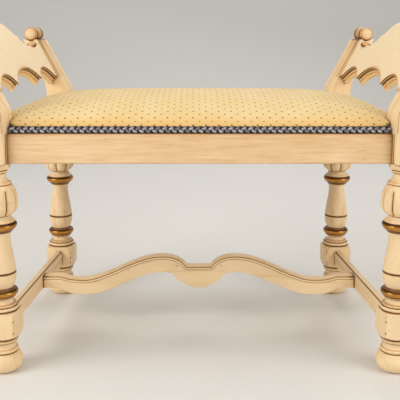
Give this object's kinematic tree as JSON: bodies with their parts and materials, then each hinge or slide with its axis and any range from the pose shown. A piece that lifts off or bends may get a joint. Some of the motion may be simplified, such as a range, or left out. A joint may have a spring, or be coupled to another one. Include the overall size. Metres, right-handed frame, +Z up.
{
  "type": "vanity bench",
  "caption": "Painted wooden vanity bench with turned legs, shaped stretchers, flared panelled arms and a crowned upholstered seat edged with braid.",
  "frame": {"origin": "on the floor, below the middle of the bench's bounding box", "axes": "+X to the bench's right as seen from the front, +Y to the rear, +Z up"},
  "size_m": [0.8498, 0.4445, 0.608],
  "materials": {
    "paint": "cream paint with brown glaze in the hollows",
    "fabric": "woven yellow fabric with small dots",
    "cord": "twisted navy and grey braid",
    "plywood": "bare plywood",
    "foam": "open-cell foam",
    "beech": "bare beech",
    "steel": "plain screw steel"
  },
  "bodies": {
    "root": {"leg_front_left": "paint", "post_front_left": "paint", "scroll_front_left": "paint", "corner_block_front_left": "beech", "rail_screw_front_left": "steel", "side_screw_front_left": "steel", "seat_screw_front_left": "steel", "leg_rear_left": "paint", "post_rear_left": "paint", "scroll_rear_left": "paint", "corner_block_rear_left": "beech", "rail_screw_rear_left": "steel", "side_screw_rear_left": "steel", "seat_screw_rear_left": "steel", "rail_left": "paint", "stretcher_left": "paint", "arm_panel_left": "paint", "leg_front_right": "paint", "post_front_right": "paint", "scroll_front_right": "paint", "corner_block_front_right": "beech", "rail_screw_front_right": "steel", "side_screw_front_right": "steel", "seat_screw_front_right": "steel", "leg_rear_right": "paint", "post_rear_right": "paint", "scroll_rear_right": "paint", "corner_block_rear_right": "beech", "rail_screw_rear_right": "steel", "side_screw_rear_right": "steel", "seat_screw_rear_right": "steel", "rail_right": "paint", "stretcher_right": "paint", "arm_panel_right": "paint", "rail_front": "paint", "rail_rear": "paint", "stretcher_cross": "paint", "seat_board": "plywood", "seat_foam": "foam", "seat_cover": "fabric", "seat_braid": "cord"}
  },
  "joints": []
}
